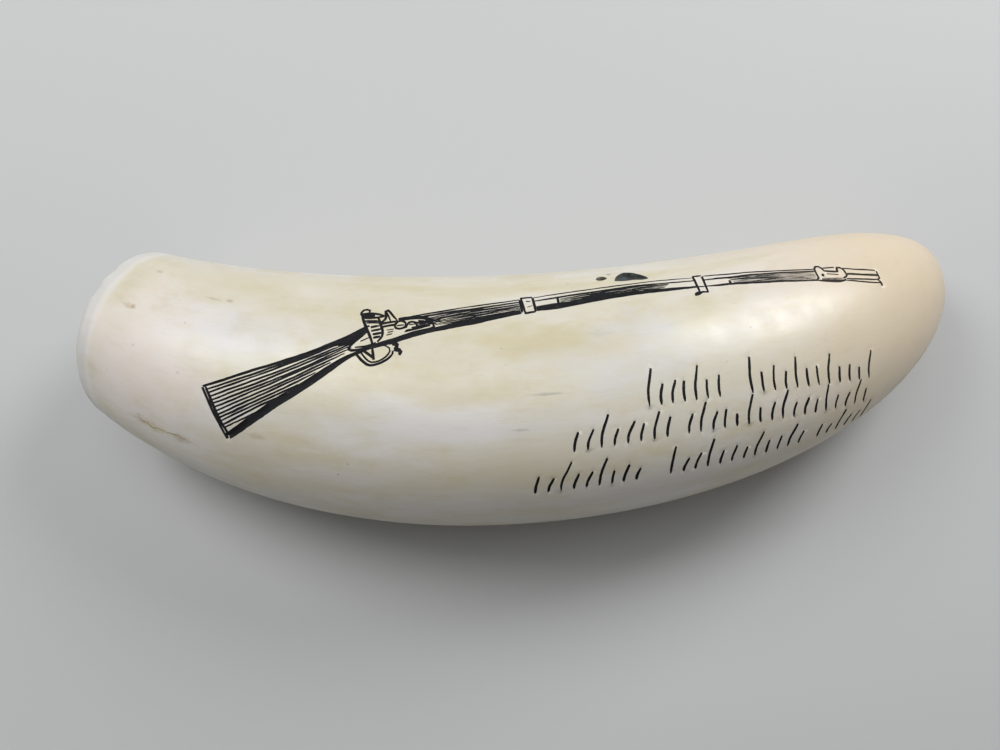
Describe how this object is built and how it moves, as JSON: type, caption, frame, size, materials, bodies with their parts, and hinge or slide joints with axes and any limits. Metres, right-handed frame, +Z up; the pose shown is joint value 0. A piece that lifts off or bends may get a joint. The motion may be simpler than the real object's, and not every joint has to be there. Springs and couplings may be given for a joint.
{
  "type": "scrimshaw whale tooth",
  "caption": "Polished sperm-whale tooth lying on its side, engraved with an ink-filled musket and rows of pen marks, with an open root cavity.",
  "frame": {"origin": "under the middle of the tooth's box, at the level of the surface it lies on", "axes": "+X from the sawn root end towards the tip, +Y towards the hollow of the bend, +Z up, with the picture on the upper side"},
  "size_m": [0.1606, 0.0594, 0.0387],
  "materials": {
    "ivory": "hand-polished ivory, satin to glossy, with black ink in the scratched lines"
  },
  "bodies": {
    "root": {"tooth": "ivory"}
  },
  "joints": []
}
